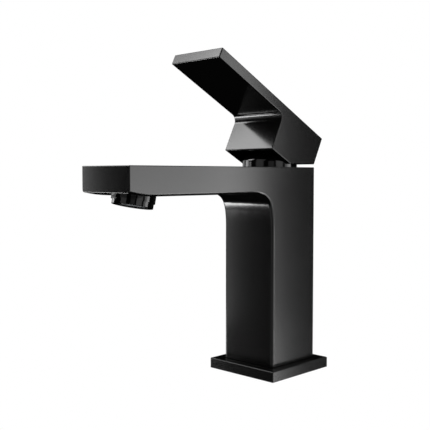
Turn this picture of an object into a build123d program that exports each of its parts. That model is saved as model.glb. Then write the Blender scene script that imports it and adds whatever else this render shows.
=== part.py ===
from build123d import *
import os
from math import asin, cos, degrees, radians, sin, sqrt

# Single-lever basin mixer: square column, flat spout, block handle with a flat lever.
# Frame: +Z up, deck at z = 0, column axis on Z, spout towards -Y, cold side +X.
# Every piece is drawn at rest, which is with the lever lifted fully open. Millimetres.

# ---- outer body ----
body_width = 44.0          # column and spout share one width
body_depth = 45.0          # column, front to back
body_height = 142.0        # deck to the flat top
spout_reach = 144.0        # column axis to the spout's tip
spout_thickness = 17.6     # where the underside is flat
tip_thickness = 15.5       # at the very tip
tip_sweep = 20.0           # length of the rising arc under the tip
blend_run = 22.0           # the underside's blend starts this far before the column
blend_drop = 24.0          # and ends this far down it
blend_weight = 1.6         # fullness of the blend's conic
under_round = 1.8          # side edges of the underside, the blend and the column's front
edge_round = 0.5           # all other outer edges

# ---- base ----
plate_width = 58.0
plate_depth = 60.0
plate_thickness = 7.0
plate_round = 0.5
foot_width = 34.0          # body spigot that passes through the plate
foot_gap = 0.3
gasket_width = 4.0
gasket_thickness = 1.2
gasket_inset = 3.0         # plate's edge to the gasket
joint_chamfer = 0.4        # shadow line where the column meets the plate

# ---- supply and waterways ----
inlet_radius = 4.5         # M10x1 tap drill
link_radius = 3.5          # inlet to the chamber above it
inlet_depth = 12.0
inlet_offset = 9.0
inlet_back = 5.0           # inlets lie behind the column's axis
stud_radius = 3.4          # M8 tap drill
stud_depth = 16.0
stud_forward = 9.0
core_wall = 5.0            # round the two cored supply chambers
core_rib = 5.0             # between them
core_floor_z = 20.0
core_roof = 9.0            # metal left under the cartridge's seat
port_radius = 2.4
port_side = 5.6
port_forward = 3.2
outlet_radius = 3.0
outlet_back = 1.5
channel_width = 26.0
channel_floor = 5.6        # metal under the spout's channel
channel_roof = 6.4         # metal over it
channel_stop = 1.5         # metal between the channel and the aerator's thread
throat_width = 13.0
throat_step = 1.2
throat_reach = 3.0         # washer's seat up into the throat
gate_reach = 2.0           # cartridge's side outlet, inwards from its bore
riser_width = 16.0
riser_depth = 3.6
riser_wall = 1.7           # metal between the cartridge's bore and the riser

# ---- cartridge, 35 mm class ----
cartridge_radius = 17.5
cartridge_gap = 0.2
seat_drop = 25.8           # flat top to the cartridge's seat
base_height = 6.4
passage_half_width = 2.4
passage_low = 2.0          # base underside to the outlet passage
passage_high = 4.8
seal_wall = 1.4
seal_height = 1.2
seal_margin = 0.6          # port's edge to the seal
peg_radius = 1.6
peg_length = 2.6
peg_gap = 0.1
peg_circle = 14.0
peg_angle = 20.0           # below the X axis, one peg on each side
disc_thickness = 3.5
disc_gap = 0.02            # lapped faces, one on each disc
fixed_disc_gap = 0.2
moving_disc_room = 4.2     # cavity's wall to the centred moving disc
mixing_radius = 5.5
mixing_depth = 2.2
key_width = 4.0
key_height = 1.0
key_inset = 0.6
housing_wall = 1.9
shoulder_drop = 6.0        # flat top to the housing's shoulder, under the nut
shoulder_thickness = 1.6
neck_radius = 14.7
neck_rise = 4.5            # housing's neck above the flat top
neck_wall = 1.4
lip_thickness = 3.4
o_ring_rise = 2.6          # base top to the housing's O-ring
o_ring_radius = 0.7

# ---- rotor, stem and disc drive ----
rotor_radius = 9.0
rotor_gap = 0.06
rotor_plate_thickness = 3.6
rotor_plate_gap = 0.4
rotor_lift_gap = 0.3
rotor_rise = 10.0          # rotor's head above the flat top
rib_thickness = 3.2
rib_length = 6.6
rib_gap = 0.25
slot_gap = 0.3
slot_swing = 1.8
carrier_half_width = 6.0
carrier_flange = 2.5
carrier_block = 5.0
pocket_floor_gap = 0.4
pin_radius = 1.5
pin_gap = 0.04
pin_inset = 0.3
stem_width = 8.0
stem_length = 23.5         # hinge line to the stem's top
stem_arm = 14.5            # hinge line to the drive end's centre
stem_chamfer = 0.5
drive_radius = 2.4
drive_half_width = 2.9
drive_gap = 0.05
tongue_thickness = 3.2
limit_ring_height = 1.8
limit_ring_wall = 3.2
limit_ring_gap = 0.4
lug_reach = 1.9
lug_gap = 0.3
lug_half_angle = 8.0
swivel_half_range = 50.0
stop_margin = 1.0          # degrees left between lug and stop at the limit

# ---- nut and dome ----
nut_radius = 19.0          # M38x1.5
nut_gap = 0.05
nut_bore_gap = 0.2
nut_collar_radius = 16.2
nut_collar_rise = 3.6
notch_width = 4.0
notch_depth = 2.0
dome_radius = 19.0
dome_rise = 11.3
dome_side = 3.8            # straight part of its side
dome_wall = 1.2
dome_mouth_gap = 0.7
skirt_gap = 0.1
skirt_relief = 0.25        # dome's inner step above the nut's collar
dome_ring_radius = 0.35
dome_ring_rise = 1.0

# ---- handle ----
pivot_rise = 6.5           # flat top to the lever's hinge line
lift_angle = 27.0
handle_gap = 0.9           # under the closed handle
handle_width = 43.2
handle_length = 115.0
lever_thickness = 7.0
block_height = 32.7
block_length = 45.6
heel = 1.2                 # the underside's relief starts this far before the hinge line
inner_corner = 4.8
handle_round = 0.6
handle_wall = 2.2
handle_roof = 3.2
boss_width = 16.0
boss_front = 12.0
boss_rise = 9.0            # hinge line to the boss's lower face
socket_gap = 0.08
socket_end_gap = 0.4
screw_rise = 12.4          # hinge line to the grub screw, along the stem
screw_radius = 2.5         # M5
screw_length = 9.0
screw_socket_radius = 1.4
screw_socket_depth = 3.0
thread_gap = 0.05
plug_radius = 3.4
plug_length = 4.0

# ---- aerator ----
aerator_reach = 123.0
aerator_tilt = 11.7
collar_radius = 13.1
collar_drop = 3.2          # below the spout's underside, along the aerator's axis
collar_sink = 3.0          # above it, in the counterbore
collar_gap = 0.25
ring_radius = 12.35
ring_drop = 3.0
thread_radius = 12.0       # M24x1
thread_length = 3.4
aerator_bore = 10.3
insert_gap = 0.05
washer_thickness = 1.2
washer_bore = 9.5
screen_thickness = 0.8
screen_hole = 0.9
screen_rings = ((3.4, 6), (6.8, 12))
insert_length = 7.0
outlet_lip = 0.9
outlet_lip_width = 1.2
cell_pitch = 2.6
cell_width = 1.9
cell_field = 8.0
regulator_hole = 1.1
regulator_circle = 6.0
regulator_count = 8

# ---- places worked out from those ----
half = body_width / 2
back = body_depth / 2
handle_half = handle_width / 2
over = 1.0                 # how far a cutting tool runs past a face
underside_z = body_height - spout_thickness
tip_under_z = body_height - tip_thickness
seat_z = body_height - seat_drop
base_top_z = seat_z + base_height
fixed_top_z = base_top_z + disc_thickness
moving_low_z = fixed_top_z + disc_gap
moving_top_z = moving_low_z + disc_thickness
flange_top_z = moving_top_z + carrier_flange
carrier_top_z = flange_top_z + carrier_block
shoulder_z = body_height - shoulder_drop
neck_top_z = body_height + neck_rise
pivot_z = body_height + pivot_rise
head_z = body_height + rotor_rise
bore_radius = cartridge_radius + cartridge_gap
cavity_radius = cartridge_radius - housing_wall
moving_disc_radius = cavity_radius - moving_disc_room
cavity_top_z = shoulder_z - shoulder_thickness
bearing_radius = neck_radius - neck_wall
lip_z = neck_top_z - lip_thickness
plate_top_z = lip_z - rotor_lift_gap
plate_low_z = plate_top_z - rotor_plate_thickness
rib_low_z = plate_low_z - rib_length
stem_lean = lift_angle / 2
carrier_y = -stem_arm * sin(radians(stem_lean))
pocket_z = pivot_z - stem_arm - drive_radius - pocket_floor_gap
limit_inner = rotor_radius + limit_ring_gap
lug_radius = rotor_radius + lug_reach
nut_bore = neck_radius + nut_bore_gap
skirt_radius = nut_collar_radius + skirt_gap
dome_mouth = rotor_radius + dome_mouth_gap
dome_ring_z = body_height + dome_ring_rise
channel_low_z = underside_z + channel_floor
channel_top_z = body_height - channel_roof
riser_back = -bore_radius - riser_wall
channel_end = thread_radius + channel_stop - aerator_reach
thread_top = collar_sink + thread_length
washer_top = thread_top + washer_thickness
insert_low = outlet_lip - collar_drop - ring_drop
insert_top = insert_low + insert_length
screen_low = thread_top - screen_thickness
handle_low = handle_gap - pivot_rise
handle_top = handle_low + block_height
lever_low = handle_top - lever_thickness
handle_tip = back - handle_length
block_front = back - block_length


# ---- plain shapes ----
def box(x0, x1, y0, y1, z0, z1):
    middle = Pos((x0 + x1) / 2, (y0 + y1) / 2, (z0 + z1) / 2)
    return middle * Box(x1 - x0, y1 - y0, z1 - z0)


def block(half_x, half_y, z0, z1, y=0.0):
    return box(-half_x, half_x, y - half_y, y + half_y, z0, z1)


def rod(radius, z0, z1, x=0.0, y=0.0):
    upwards = (Align.CENTER, Align.CENTER, Align.MIN)
    return Pos(x, y, z0) * Cylinder(radius, z1 - z0, align=upwards)


def tube(outer, inner, z0, z1, x=0.0, y=0.0):
    return rod(outer, z0, z1, x, y) - rod(inner, z0 - over, z1 + over, x, y)


def cross_rod(radius, half_length, z=0.0):
    return Pos(0, 0, z) * Rot(0, 90, 0) * Cylinder(radius, 2 * half_length)


def lying_rod(radius, y0, y1, z):
    upwards = (Align.CENTER, Align.CENTER, Align.MIN)
    return Pos(0, y0, z) * Rot(-90, 0, 0) * Cylinder(radius, y1 - y0, align=upwards)


def sector(outer, inner, half_angle, z0, z1):
    """Part of a ring, centred on -Y."""
    far = 4 * outer
    x = far * sin(radians(half_angle))
    y = -far * cos(radians(half_angle))
    slice_face = make_face(Polyline((0, 0), (-x, y), (x, y), close=True))
    return tube(outer, inner, z0, z1) & Pos(0, 0, z0) * extrude(slice_face, amount=z1 - z0)


def side_extrude(outline, half_width):
    return extrude(Plane.YZ * make_face(outline), amount=half_width, both=True)


def at_aerator(shape):
    """Moves a shape drawn along the aerator's axis, z = 0 at the spout's underside."""
    return Pos(0, -aerator_reach, underside_z) * Rot(-aerator_tilt, 0, 0) * shape


def with_stem(shape):
    """Moves a shape drawn along the stem, z = 0 on the hinge line."""
    return Pos(0, 0, pivot_z) * Rot(-stem_lean, 0, 0) * shape


def with_handle(shape):
    """Moves a shape drawn on the closed handle, z = 0 on the hinge line."""
    return Pos(0, 0, pivot_z) * Rot(-lift_angle, 0, 0) * shape


def edges_at(shape, test):
    return [edge for edge in shape.edges() if test(edge.center())]


def near(a, b):
    return abs(a - b) < 0.01


# ---- body ----
def body_outline():
    blend_y = -back - blend_run
    blend_z = underside_z - blend_drop
    sweep_y = tip_sweep - spout_reach
    rise = spout_thickness - tip_thickness
    sweep_radius = (tip_sweep**2 + rise**2) / (2 * rise)
    turn = degrees(asin(tip_sweep / sweep_radius))
    sweep = CenterArc((sweep_y, underside_z + sweep_radius), sweep_radius, -90 - turn, turn)
    blend = Bezier((blend_y, underside_z), (-back, underside_z), (-back, blend_z),
                   weights=[1, blend_weight, 1])
    rest = Polyline((-back, blend_z), (-back, plate_thickness), (back, plate_thickness),
                    (back, body_height), (-spout_reach, body_height),
                    (-spout_reach, tip_under_z))
    return [sweep, Line((sweep_y, underside_z), (blend_y, underside_z)), blend, rest]


def follows_underside(c):
    on_side = near(abs(c.X), half)
    in_front = c.Y < -back or near(c.Y, -back)
    return on_side and in_front and c.Z < tip_under_z


def is_outer_edge(c):
    top = near(c.Z, body_height)
    tip = near(c.Y, -spout_reach)
    rear = near(c.Y, back) and near(abs(c.X), half)
    return top or tip or rear


def supply_side(sign):
    """One side's inlet thread, cored chamber and port."""
    x = sign * inlet_offset
    side = half - core_wall
    rib = core_rib / 2
    roof_z = seat_z - core_roof
    middle = Pos(sign * (rib + side) / 2, 0, 0)
    chamber = middle * block((side - rib) / 2, back - core_wall, core_floor_z, roof_z)
    thread = rod(inlet_radius, -over, inlet_depth, x, inlet_back)
    link = rod(link_radius, inlet_depth - over, core_floor_z + over, x, inlet_back)
    port = rod(port_radius, roof_z - over, seat_z + over, sign * port_side, -port_forward)
    return [chamber, thread, link, port]


def base_pegs(gap):
    """The two pegs that locate the cartridge, or with a gap their holes."""
    x = peg_circle * cos(radians(peg_angle))
    y = -peg_circle * sin(radians(peg_angle))
    low = seat_z - peg_length - gap
    return [rod(peg_radius + gap, low, seat_z + over, sign * x, y) for sign in (-1, 1)]


def spout_channel():
    front = riser_back - riser_depth
    gate_low = seat_z + passage_low
    gate_high = seat_z + passage_high + over
    throat_half = throat_width / 2
    return [
        box(-riser_width / 2, riser_width / 2, front, riser_back, gate_low, channel_top_z),
        box(-riser_width / 2, riser_width / 2, riser_back - over, gate_reach - bore_radius,
            gate_low, gate_high),
        box(-channel_width / 2, channel_width / 2, channel_end, riser_back,
            channel_low_z, channel_top_z),
        box(-throat_half, throat_half, -aerator_reach, channel_end + over,
            channel_low_z + throat_step, channel_top_z),
    ]


def body():
    shape = side_extrude(body_outline(), half)
    shape = fillet(edges_at(shape, follows_underside), under_round)
    shape = fillet(edges_at(shape, is_outer_edge), edge_round)
    shape = chamfer(edges_at(shape, lambda c: near(c.Z, plate_thickness)), joint_chamfer)
    shape = shape + block(foot_width / 2, foot_width / 2, 0, plate_thickness + over)
    shape = shape - [
        rod(bore_radius, seat_z, body_height + over),
        rod(nut_radius, shoulder_z, body_height + over),
        rod(stud_radius, -over, stud_depth, 0, -stud_forward),
    ]
    shape = shape - supply_side(-1) - supply_side(1) - base_pegs(peg_gap) - spout_channel()
    return shape - [
        at_aerator(rod(thread_radius, -over, washer_top)),
        at_aerator(rod(collar_radius + collar_gap, -collar_drop - over, collar_sink)),
        at_aerator(rod(washer_bore, 0, washer_top + throat_reach)),
    ]


# ---- base plate and gasket ----
def base_gasket():
    w = plate_width / 2 - gasket_inset
    d = plate_depth / 2 - gasket_inset
    inner = block(w - gasket_width, d - gasket_width, -over, gasket_thickness + over)
    return block(w, d, 0, gasket_thickness) - inner


def base_plate():
    shape = block(plate_width / 2, plate_depth / 2, 0, plate_thickness)
    shape = fillet(edges_at(shape, lambda c: c.Z > over), plate_round)
    opening = foot_width / 2 + foot_gap
    return shape - block(opening, opening, -over, plate_thickness + over) - base_gasket()


# ---- cartridge ----
def port_seals():
    """One face seal round each supply port, sunk into the base's underside."""
    inner = port_radius + seal_margin
    return [tube(inner + seal_wall, inner, seat_z, seat_z + seal_height,
                 sign * port_side, -port_forward) for sign in (-1, 1)]


def ports(z0, z1):
    return [rod(port_radius, z0 - over, z1 + over, sign * port_side, -port_forward)
            for sign in (-1, 1)]


def cartridge_base():
    shape = rod(cartridge_radius, seat_z, base_top_z) + base_pegs(0)
    low = seat_z + passage_low
    high = seat_z + passage_high
    passage = box(-passage_half_width, passage_half_width, -cartridge_radius - over,
                  outlet_back + outlet_radius, low, high)
    outlet = rod(outlet_radius, high - over, base_top_z + over, 0, outlet_back)
    return shape - ports(seat_z, base_top_z) - port_seals() - [passage, outlet]


def fixed_ceramic_disc():
    shape = rod(cavity_radius - fixed_disc_gap, base_top_z, fixed_top_z)
    outlet = rod(outlet_radius, base_top_z - over, fixed_top_z + over, 0, outlet_back)
    return shape - ports(base_top_z, fixed_top_z) - outlet


def moving_ceramic_disc():
    """Mixing chamber below, keyway above."""
    shape = rod(moving_disc_radius, moving_low_z, moving_top_z, 0, carrier_y)
    chamber = rod(mixing_radius, moving_low_z - over, moving_low_z + mixing_depth, 0, carrier_y)
    keyway = block(key_width / 2, moving_disc_radius + over, moving_top_z - key_height,
                   moving_top_z + over, carrier_y)
    return shape - [chamber, keyway]


def disc_carrier():
    """Flange keyed into the moving disc, and a guided block with the stem's pocket."""
    shape = rod(moving_disc_radius, moving_top_z, flange_top_z, 0, carrier_y)
    key = block(key_width / 2 - peg_gap, moving_disc_radius - key_inset,
                moving_top_z - key_height + peg_gap, moving_top_z + over, carrier_y)
    guide = block(carrier_half_width, carrier_half_width, flange_top_z - over,
                  carrier_top_z, carrier_y)
    pocket = block(drive_half_width + slot_gap, drive_radius + drive_gap, pocket_z,
                   carrier_top_z + over, carrier_y)
    return shape + key + guide - pocket


def cartridge_housing():
    shape = rod(cartridge_radius, base_top_z, shoulder_z)
    shape = shape + rod(neck_radius, shoulder_z - over, neck_top_z)
    groove_z = base_top_z + o_ring_rise
    groove = tube(cartridge_radius + over, bore_radius - 2 * o_ring_radius,
                  groove_z - o_ring_radius, groove_z + o_ring_radius)
    return shape - [
        rod(cavity_radius, base_top_z - over, cavity_top_z),
        rod(bearing_radius, cavity_top_z - over, lip_z),
        rod(rotor_radius + rotor_gap, lip_z - over, neck_top_z + over),
        groove,
    ]


def housing_o_ring():
    ring = Torus(bore_radius - o_ring_radius, o_ring_radius)
    return Pos(0, 0, base_top_z + o_ring_rise) * ring


def limit_ring():
    """Snap ring on the housing; its gap stops the rotor's lug at either end."""
    top = neck_top_z + limit_ring_height
    shape = tube(limit_inner + limit_ring_wall, limit_inner, neck_top_z, top)
    gap_angle = swivel_half_range + lug_half_angle + stop_margin
    return shape - sector(lug_radius + lug_gap, limit_inner - over, gap_angle,
                          neck_top_z - over, top + over)


def rotor():
    shape = rod(rotor_radius, plate_low_z, head_z)
    shape = shape + rod(bearing_radius - rotor_plate_gap, plate_low_z, plate_top_z)
    near_x = carrier_half_width + rib_gap
    middle = near_x + rib_thickness / 2
    for sign in (-1, 1):
        rib = block(rib_thickness / 2, rotor_radius - over, rib_low_z, plate_low_z + over)
        shape = shape + Pos(sign * middle, 0, 0) * rib
    lug_low = neck_top_z + lug_gap
    shape = shape + sector(lug_radius, rotor_radius - over, lug_half_angle, lug_low,
                           neck_top_z + limit_ring_height - lug_gap)
    slot = block(stem_width / 2 + slot_gap, stem_width / 2 + slot_swing,
                 plate_low_z - over, head_z + over)
    return shape - slot - cross_rod(pin_radius, rotor_radius + over, pivot_z)


def pivot_pin():
    return cross_rod(pin_radius, rotor_radius - pin_inset, pivot_z)


def stem():
    square = stem_width / 2
    shape = block(square, square, 0, stem_length)
    shape = chamfer(edges_at(shape, lambda c: near(c.Z, stem_length)), stem_chamfer)
    shape = shape + cross_rod(square, square)
    shape = shape + block(drive_half_width, tongue_thickness / 2, -stem_arm, 0)
    shape = shape + cross_rod(drive_radius, drive_half_width, -stem_arm)
    return with_stem(shape - cross_rod(pin_radius + pin_gap, square + over))


# ---- nut and dome ----
def retaining_nut():
    collar_top = body_height + nut_collar_rise
    shape = rod(nut_radius - nut_gap, shoulder_z, body_height)
    shape = shape + rod(nut_collar_radius, body_height - over, collar_top)
    shape = shape - rod(nut_bore, shoulder_z - over, collar_top + over)
    groove = tube(nut_collar_radius + over, skirt_radius - 2 * dome_ring_radius,
                  dome_ring_z - dome_ring_radius, dome_ring_z + dome_ring_radius)
    notch = block(notch_width / 2, nut_radius, collar_top - notch_depth, collar_top + over)
    return shape - [groove, notch, Rot(0, 0, 90) * notch]


def dome_solid(radius, rise):
    arc = EllipticalCenterArc((0, dome_side), radius, rise - dome_side, start_angle=0, arc_size=90)
    outline = [arc, Polyline((0, rise), (0, 0), (radius, 0), (radius, dome_side))]
    return Pos(0, 0, body_height) * revolve(Plane.XZ * make_face(outline), Axis.Z)


def dome_cover():
    step_z = body_height + nut_collar_rise + skirt_relief
    inside = dome_solid(dome_radius - dome_wall, dome_rise - dome_wall)
    inside = inside - rod(dome_radius, body_height - over, step_z)
    skirt = rod(skirt_radius, body_height - over, step_z)
    mouth = rod(dome_mouth, body_height, head_z + dome_rise)
    return dome_solid(dome_radius, dome_rise) - [inside, skirt, mouth]


def dome_o_ring():
    ring = Torus(skirt_radius - dome_ring_radius, dome_ring_radius)
    return Pos(0, 0, dome_ring_z) * ring


# ---- handle ----
def relief_height(y):
    """Height on the closed handle's relief, which lies flat when the lever is open."""
    a = radians(lift_angle)
    flat = heel * sin(a) + handle_low * cos(a)
    return (flat + y * sin(a)) / cos(a)


def handle_outline():
    return Polyline((handle_tip, handle_top), (back, handle_top), (back, relief_height(back)),
                    (-heel, handle_low), (block_front, handle_low), (block_front, lever_low),
                    (handle_tip, lever_low), close=True)


def grub_hole(gap):
    return lying_rod(screw_radius + gap, 0, handle_length, screw_rise)


def plug_seat(radius):
    """Runs from the plug's inner end out past the handle's back."""
    lean = radians(stem_lean)
    face = (back + screw_rise * sin(lean)) / cos(lean)
    return lying_rod(radius, face - plug_length, face + plug_length, screw_rise)


def is_corner_seam(c):
    """The two lines where the inner corner's round meets its flat faces."""
    across = near(c.X, 0) and c.Z > handle_low + over
    return across and abs(c.Y - block_front) < inner_corner + over


def handle():
    shape = side_extrude(handle_outline(), handle_half)
    inner = edges_at(shape, lambda c: near(c.Y, block_front) and near(c.Z, lever_low))
    shape = fillet(inner, inner_corner)
    shape = fillet(edges_at(shape, lambda c: not is_corner_seam(c)), handle_round)
    roof = handle_top - handle_roof
    inside = handle_half - handle_wall
    rear = back - handle_wall
    cavity = box(-inside, inside, block_front + handle_wall, rear, handle_low - over, roof)
    boss = box(-boss_width / 2, boss_width / 2, -boss_front, rear, boss_rise, roof)
    shape = with_handle(shape - (cavity - boss))
    width = stem_width / 2 + socket_gap
    socket = block(width, width, stem_width / 2, stem_length + socket_end_gap)
    return shape - [with_stem(socket), with_stem(grub_hole(thread_gap)),
                    with_stem(plug_seat(plug_radius + thread_gap))]


def grub_screw():
    start = stem_width / 2
    shape = lying_rod(screw_radius, start, start + screw_length, screw_rise)
    end = start + screw_length
    key = lying_rod(screw_socket_radius, end - screw_socket_depth, end + over, screw_rise)
    return with_stem(shape - key)


def screw_plug():
    """Cap flush with the handle's back."""
    inside = box(-half, half, 0, back, 0, handle_top)
    return with_stem(plug_seat(plug_radius)) & with_handle(inside)


# ---- aerator ----
def aerator_shell():
    low = -collar_drop - ring_drop
    shape = rod(collar_radius, -collar_drop, collar_sink) + rod(ring_radius, low, 0)
    shape = shape + rod(thread_radius - thread_gap, 0, thread_top)
    shape = shape - rod(aerator_bore, insert_low, thread_top + over)
    return at_aerator(shape - rod(aerator_bore - outlet_lip_width, low - over, thread_top))


def aerator_insert():
    """Honeycomb that straightens the stream."""
    shape = rod(aerator_bore - insert_gap, insert_low, insert_top)
    count = int(cell_field / cell_pitch)
    cells = []
    for i in range(-count, count + 1):
        for j in range(-count, count + 1):
            x = i * cell_pitch
            y = j * cell_pitch
            if sqrt(x**2 + y**2) < cell_field:
                cell = block(cell_width / 2, cell_width / 2, insert_low - over,
                             insert_top + over)
                cells.append(Pos(x, y, 0) * cell)
    return at_aerator(shape - cells)


def flow_regulator():
    shape = rod(aerator_bore - insert_gap, insert_top, screen_low)
    holes = PolarLocations(regulator_circle, regulator_count)
    return at_aerator(shape - [place * rod(regulator_hole, insert_top - over, screen_low + over)
                               for place in holes])


def aerator_screen():
    shape = rod(aerator_bore - insert_gap, screen_low, thread_top)
    for radius, count in screen_rings:
        shape = shape - [place * rod(screen_hole, screen_low - over, thread_top + over)
                         for place in PolarLocations(radius, count)]
    return at_aerator(shape)


def aerator_washer():
    return at_aerator(tube(thread_radius - insert_gap, washer_bore, thread_top, washer_top))


pieces = {
    "body": body,
    "base_plate": base_plate,
    "base_gasket": base_gasket,
    "cartridge_base": cartridge_base,
    "port_seals": port_seals,
    "cartridge_housing": cartridge_housing,
    "housing_o_ring": housing_o_ring,
    "fixed_ceramic_disc": fixed_ceramic_disc,
    "moving_ceramic_disc": moving_ceramic_disc,
    "disc_carrier": disc_carrier,
    "limit_ring": limit_ring,
    "rotor": rotor,
    "pivot_pin": pivot_pin,
    "stem": stem,
    "retaining_nut": retaining_nut,
    "dome_o_ring": dome_o_ring,
    "dome_cover": dome_cover,
    "handle": handle,
    "grub_screw": grub_screw,
    "screw_plug": screw_plug,
    "aerator_shell": aerator_shell,
    "aerator_insert": aerator_insert,
    "flow_regulator": flow_regulator,
    "aerator_screen": aerator_screen,
    "aerator_washer": aerator_washer,
}

os.makedirs("parts", exist_ok=True)
for name, make in pieces.items():
    made = make()
    if isinstance(made, list):
        made = Compound(children=made)
    export_step(made, f"parts/{name}.step")
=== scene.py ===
import bpy
from math import cos, pi, radians, sin, tan
from mathutils import Matrix, Vector

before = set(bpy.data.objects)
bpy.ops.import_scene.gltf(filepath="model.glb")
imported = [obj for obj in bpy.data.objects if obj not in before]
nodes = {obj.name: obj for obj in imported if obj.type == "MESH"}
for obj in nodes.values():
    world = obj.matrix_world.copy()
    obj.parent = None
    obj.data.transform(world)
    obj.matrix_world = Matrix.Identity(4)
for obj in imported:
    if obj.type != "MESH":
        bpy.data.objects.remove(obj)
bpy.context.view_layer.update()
print("frame loaded:", len(nodes), "nodes")

# camera
cameraSpot = {
    "eye": Vector((0.34168, -0.40372, 0.13677)),
    "right": Vector((0.71440, 0.69974, 0.0)),
    "up": Vector((-0.03756, 0.03834, 0.99856)),
    "lens": 62.70,       # on a 36 mm sensor
}


def makeCamera():
    data = bpy.data.cameras.new("mainCamera")
    data.sensor_width = 36
    data.lens = cameraSpot["lens"]
    data.clip_start = 0.01
    data.clip_end = 100
    camera = bpy.data.objects.new("mainCamera", data)
    right, up = cameraSpot["right"], cameraSpot["up"]
    turn = Matrix((right, up, right.cross(up))).transposed().to_4x4()
    camera.matrix_world = Matrix.Translation(cameraSpot["eye"]) @ turn
    bpy.context.scene.collection.objects.link(camera)
    bpy.context.scene.camera = camera


makeCamera()
print("camera placed")

# soft boxes far from the faucet stand on a sphere: "round" runs anticlockwise from +X and
# "height" up from the horizon, both in degrees, from one edge of the box to the other
studio = {
    "centre": Vector((0, -0.03, 0.10)),
    "distance": 1.6,
    "boxes": {
        "rightMiddle": {"round": (30, 48), "height": (-25, 0), "glow": 3.9},
        "rightHigh": {"round": (30, 48), "height": (0, 15), "glow": 3.2},
        "rightFoot": {"round": (44, 48), "height": (-40, -12), "glow": 5.7},
        "rightEdge": {"round": (44, 48), "height": (-12, 10), "glow": 1.2},
        "rightWing": {"round": (18, 30), "height": (-40, 5), "glow": 1.6},
        "leftBack": {"round": (150, 180), "height": (-15, 25), "glow": 0.7},
        "frontFill": {"round": (250, 285), "height": (-40, 20), "glow": 0.55},
        "frontHigh": {"round": (243, 292), "height": (25, 60), "glow": 0.6},
        "edgeLight": {"round": (305, 330), "height": (-40, 15), "glow": 0.3},
        "sideFill": {"round": (-22, 8), "height": (-30, 40), "glow": 1.0},
        "rightTop": {"round": (12, 70), "height": (28, 62), "glow": 0.8},
        "backFill": {"round": (70, 140), "height": (25, 70), "glow": 0.7},
    },
}

# the left side is a near wall of panes: "across" runs from its front edge to the back and
# "up" from the deck, in metres
leftWall = {
    "edge": Vector((-0.402, -0.415, 0)),
    "turn": radians(212),
    "panes": {
        "footLow": {"across": (0.07, 0.18), "up": (-0.30, -0.16), "glow": 16.0},
        "foot": {"across": (0.06, 0.16), "up": (-0.16, -0.06), "glow": 9.0},
        "frontEdge": {"across": (0, 0.06), "up": (-0.08, 0.18), "glow": 2.6},
        "middle": {"across": (0.06, 0.16), "up": (0.05, 0.16), "glow": 1.4},
        "side": {"across": (0.16, 0.36), "up": (0.08, 0.28), "glow": 3.5},
        "under": {"across": (0.16, 0.40), "up": (0.28, 0.40), "glow": 2.6},
        "key": {"across": (0.16, 0.40), "up": (0.40, 0.55), "glow": 10.0},
        "keyEdge": {"across": (0.03, 0.06), "up": (0.40, 0.66), "glow": 8.0},
        "high": {"across": (0.06, 0.16), "up": (0.40, 0.75), "glow": 7.0},
        "top": {"across": (0.16, 0.40), "up": (0.55, 0.80), "glow": 2.3},
    },
}


def makeLight(name, spot, towards, width, height, glow):
    data = bpy.data.lights.new(name, "AREA")
    data.shape = "RECTANGLE"
    data.size, data.size_y = width, height
    data.energy = glow * width * height * pi
    light = bpy.data.objects.new(name, data)
    light.location = spot
    light.rotation_euler = towards.to_track_quat("-Z", "Y").to_euler()
    light.visible_camera = False
    bpy.context.scene.collection.objects.link(light)


def makeSoftBox(name, spec):
    round0, round1 = spec["round"]
    height0, height1 = spec["height"]
    turn, rise = radians((round0 + round1) / 2), radians((height0 + height1) / 2)
    away = Vector((cos(rise) * cos(turn), cos(rise) * sin(turn), sin(rise)))
    reach = 2 * studio["distance"]
    width = reach * tan(radians(round1 - round0) / 2) * cos(rise)
    height = reach * tan(radians(height1 - height0) / 2)
    makeLight(name, studio["centre"] + away * studio["distance"], -away, width, height,
              spec["glow"])


def makePane(name, spec):
    (near, far), (low, high) = spec["across"], spec["up"]
    away = Vector((cos(leftWall["turn"]), sin(leftWall["turn"]), 0))
    along = Vector((away.y, -away.x, 0))
    spot = leftWall["edge"] + along * (near + far) / 2 + Vector((0, 0, (low + high) / 2))
    makeLight(name, spot, -away, far - near, high - low, spec["glow"])


for paneName, paneSpec in leftWall["panes"].items():
    makePane(paneName, paneSpec)
for boxName, boxSpec in studio["boxes"].items():
    makeSoftBox(boxName, boxSpec)
print("lights placed:", len(studio["boxes"]) + len(leftWall["panes"]))


class Wire:
    # an output socket; Python's signs add Math nodes
    def __init__(self, sheet, socket):
        self.sheet = sheet
        self.socket = socket

    def sum(self, operation, first, second):
        return self.sheet.add("ShaderNodeMath", {"operation": operation}, {0: first, 1: second})

    def __add__(self, other):
        return self.sum("ADD", self, other)

    def __sub__(self, other):
        return self.sum("SUBTRACT", self, other)

    def __rsub__(self, other):
        return self.sum("SUBTRACT", other, self)

    def __mul__(self, other):
        return self.sum("MULTIPLY", self, other)

    __radd__ = __add__
    __rmul__ = __mul__


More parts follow.
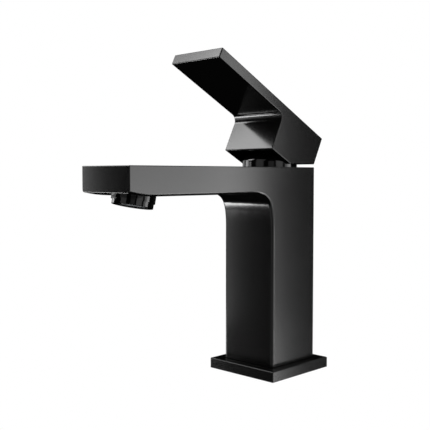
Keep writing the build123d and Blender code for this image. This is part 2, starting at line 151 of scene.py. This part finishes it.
class Sheet:
    # one node tree
    def __init__(self, tree):
        self.tree = tree
        tree.nodes.clear()

    def add(self, kind, settings=None, inputs=None, output=0):
        node = self.tree.nodes.new(kind)
        settings = dict(settings or {})
        stops = settings.pop("stops", None)
        for key, value in settings.items():
            setattr(node, key, value)
        if stops:
            ramp = node.color_ramp
            while len(ramp.elements) < len(stops):
                ramp.elements.new(0.5)
            for element, (place, shade) in zip(ramp.elements, stops):
                element.position = place
                element.color = shade
        for key, value in (inputs or {}).items():
            if isinstance(value, Wire):
                self.tree.links.new(value.socket, node.inputs[key])
            else:
                node.inputs[key].default_value = value
        return Wire(self, node.outputs[output]) if node.outputs else node

    def place(self):
        return self.add("ShaderNodeTexCoord", output="Object")

    def noise(self, place, grainSize, detail=2.0):
        # grainSize in metres
        return self.add("ShaderNodeTexNoise", {}, {
            "Vector": place, "Scale": 1 / grainSize, "Detail": detail}, "Fac")

    def tint(self, factor, first, second):
        return self.add("ShaderNodeMix", {"data_type": "RGBA"}, {
            "Factor": factor, "A": first, "B": second}, 2)

    def bump(self, height, depth, normal=None):
        # depth in metres
        links = {"Height": height, "Strength": 1.0, "Distance": depth}
        if normal:
            links["Normal"] = normal
        return self.add("ShaderNodeBump", {}, links)

    def finish(self, inputs):
        shader = self.add("ShaderNodeBsdfPrincipled", {}, inputs)
        self.add("ShaderNodeOutputMaterial", {}, {"Surface": shader})


def newMaterial(name):
    material = bpy.data.materials.new(name)
    material.use_nodes = True
    return material, Sheet(material.node_tree)


def grey(value):
    return (value, value, value, 1.0)


# baked satin black: orange peel, a fine powder grain and faint cloudiness in the gloss
coats = {
    "black_body": {"shade": 0.0040, "roughness": 0.155},
    "black_handle": {"shade": 0.0040, "roughness": 0.155},
    "black_plate": {"shade": 0.0036, "roughness": 0.15},
    "black_dome": {"shade": 0.0032, "roughness": 0.13},
    "black_aerator": {"shade": 0.0032, "roughness": 0.10},
}
coatTexture = {
    "cloudSize": 0.028,
    "cloudSwing": 0.03,       # of roughness
    "peelSize": 0.0016,
    "peelDepth": 0.0000020,
    "grainSize": 0.00022,
    "grainDepth": 0.0000003,
    "shadeSwing": 0.25,       # share of the shade, either way
}


def blackCoat(name, spec):
    material, sheet = newMaterial(name)
    place = sheet.place()
    cloud = sheet.noise(place, coatTexture["cloudSize"], detail=4.0)
    peel = sheet.noise(place, coatTexture["peelSize"], detail=1.0)
    grain = sheet.noise(place, coatTexture["grainSize"])
    swing = spec["shade"] * coatTexture["shadeSwing"]
    shade = sheet.tint(grain, grey(spec["shade"] - swing), grey(spec["shade"] + swing))
    rough = spec["roughness"] + (cloud - 0.5) * coatTexture["cloudSwing"]
    waves = sheet.bump(peel, coatTexture["peelDepth"])
    surface = sheet.bump(grain, coatTexture["grainDepth"], waves)
    sheet.finish({"Base Color": shade, "Roughness": rough, "Normal": surface})
    return material


# moulded plastic: a fine spark-eroded grain and slow flow marks in the colour
plastics = {
    "cartridge_plastic": {"light": (0.60, 0.60, 0.57, 1), "dark": (0.50, 0.50, 0.47, 1),
                          "roughness": 0.42, "grain": 0.00030},
    "carrier_plastic": {"light": (0.115, 0.125, 0.14, 1), "dark": (0.085, 0.095, 0.11, 1),
                        "roughness": 0.45, "grain": 0.00030},
    "limit_plastic": {"light": (0.46, 0.055, 0.035, 1), "dark": (0.36, 0.035, 0.025, 1),
                      "roughness": 0.40, "grain": 0.00035},
    "rotor_plastic": {"light": (0.72, 0.70, 0.64, 1), "dark": (0.62, 0.60, 0.54, 1),
                      "roughness": 0.38, "grain": 0.00030},
    "aerator_plastic": {"light": (0.70, 0.73, 0.74, 1), "dark": (0.58, 0.61, 0.63, 1),
                        "roughness": 0.30, "grain": 0.00025},
    "black_plastic": {"light": (0.012, 0.012, 0.012, 1), "dark": (0.007, 0.007, 0.007, 1),
                      "roughness": 0.34, "grain": 0.00030},
}
plasticTexture = {"flowSize": 0.009, "roughSwing": 0.10, "depth": 0.000006}


def mouldedPlastic(name, spec):
    material, sheet = newMaterial(name)
    place = sheet.place()
    flow = sheet.noise(place, plasticTexture["flowSize"], detail=3.0)
    grain = sheet.noise(place, spec["grain"])
    rough = spec["roughness"] + (flow - 0.5) * plasticTexture["roughSwing"]
    surface = sheet.bump(grain, plasticTexture["depth"])
    colour = sheet.tint(flow, spec["dark"], spec["light"])
    sheet.finish({"Base Color": colour, "Roughness": rough, "Normal": surface})
    return material


# turned metal: tool rings along the pattern's axis, with small stains
metals = {
    "steel": {"light": (0.62, 0.62, 0.61, 1), "dark": (0.46, 0.46, 0.46, 1),
              "roughness": 0.24, "rings": 0.00028},
    "brass": {"light": (0.78, 0.56, 0.26, 1), "dark": (0.60, 0.40, 0.16, 1),
              "roughness": 0.26, "rings": 0.00040},
    "plated_brass": {"light": (0.66, 0.65, 0.62, 1), "dark": (0.55, 0.54, 0.50, 1),
                     "roughness": 0.16, "rings": 0.00035},
}
metalTexture = {
    "stainSize": 0.006,
    "roughSwing": 0.16,
    "ringRough": 0.04,        # added on the rings' crests
    "depth": 0.000005,
    "ringTurns": 0.31,        # wave scale that gives one ring per metre
    "wander": 0.4,
}


def turnedMetal(name, spec):
    material, sheet = newMaterial(name)
    place = sheet.place()
    rings = sheet.add("ShaderNodeTexWave", {"bands_direction": "Z"}, {
        "Vector": place,
        "Scale": metalTexture["ringTurns"] / spec["rings"],
        "Distortion": metalTexture["wander"]}, "Fac")
    stain = sheet.noise(place, metalTexture["stainSize"], detail=4.0)
    rough = spec["roughness"] + (stain - 0.5) * metalTexture["roughSwing"]
    rough = rough + rings * metalTexture["ringRough"]
    surface = sheet.bump(rings, metalTexture["depth"])
    colour = sheet.tint(stain, spec["dark"], spec["light"])
    sheet.finish({"Base Color": colour, "Metallic": 1.0, "Roughness": rough, "Normal": surface})
    return material


# rubber: matt, with talc left in the pores
rubbers = {
    "gasket_rubber": {"shade": 0.020, "talc": 0.060, "roughness": 0.72, "grain": 0.0007},
    "seal_rubber": {"shade": 0.014, "talc": 0.034, "roughness": 0.50, "grain": 0.0004},
}
rubberTexture = {"depth": 0.000015, "roughSwing": 0.14, "bare": 0.55, "dusty": 0.78}


def sealRubber(name, spec):
    material, sheet = newMaterial(name)
    grain = sheet.noise(sheet.place(), spec["grain"], detail=4.0)
    stops = [(rubberTexture["bare"], grey(0)), (rubberTexture["dusty"], grey(1))]
    talc = sheet.add("ShaderNodeValToRGB", {"stops": stops}, {"Fac": grain})
    colour = sheet.tint(talc, grey(spec["shade"]), grey(spec["talc"]))
    rough = spec["roughness"] + (grain - 0.5) * rubberTexture["roughSwing"]
    surface = sheet.bump(grain, rubberTexture["depth"])
    sheet.finish({"Base Color": colour, "Roughness": rough, "Normal": surface})
    return material


# lapped ceramic: smooth and dense, with fine grey specks
ceramic = {
    "white": (0.80, 0.79, 0.75, 1),
    "speck": (0.62, 0.60, 0.56, 1),
    "speckSize": 0.0008,
    "speckStart": 0.62,
    "speckFull": 0.72,
    "roughness": 0.14,
    "cloudSize": 0.006,
    "cloudRough": 0.06,
}


def lappedCeramic(name):
    material, sheet = newMaterial(name)
    place = sheet.place()
    stops = [(ceramic["speckStart"], grey(0)), (ceramic["speckFull"], grey(1))]
    specks = sheet.add("ShaderNodeValToRGB", {"stops": stops}, {
        "Fac": sheet.noise(place, ceramic["speckSize"])})
    cloud = sheet.noise(place, ceramic["cloudSize"], detail=3.0)
    colour = sheet.tint(specks, ceramic["white"], ceramic["speck"])
    rough = ceramic["roughness"] + cloud * ceramic["cloudRough"]
    sheet.finish({"Base Color": colour, "Roughness": rough})
    return material


finishes = {name: blackCoat(name, spec) for name, spec in coats.items()}
finishes.update({name: mouldedPlastic(name, spec) for name, spec in plastics.items()})
finishes.update({name: turnedMetal(name, spec) for name, spec in metals.items()})
finishes.update({name: sealRubber(name, spec) for name, spec in rubbers.items()})
finishes["ceramic"] = lappedCeramic("ceramic")
for node in nodes.values():
    for slot in node.material_slots:
        slot.material = finishes[slot.material.name.split(".")[0]]
print("finishes made:", len(finishes))


floorSize = 30      # metres


def makeFloor():
    bpy.ops.mesh.primitive_plane_add(size=floorSize)
    floor = bpy.context.object
    floor.name = "floor"
    material, sheet = newMaterial("paleFloor")
    glow = sheet.add("ShaderNodeEmission", {}, {"Color": grey(1.0), "Strength": 1.0})
    sheet.add("ShaderNodeOutputMaterial", {}, {"Surface": glow})
    floor.data.materials.append(material)
    floor.visible_glossy = False
    floor.visible_diffuse = False
    floor.visible_shadow = False


def makeBackground():
    world = bpy.data.worlds.new("studio")
    bpy.context.scene.world = world
    world.use_nodes = True
    world.node_tree.nodes["Background"].inputs["Color"].default_value = grey(1.0)
    for ray in ("glossy", "diffuse", "transmission"):
        setattr(world.cycles_visibility, ray, False)


makeFloor()
makeBackground()
bpy.context.scene.view_settings.view_transform = "Standard"
print("floor and background made")
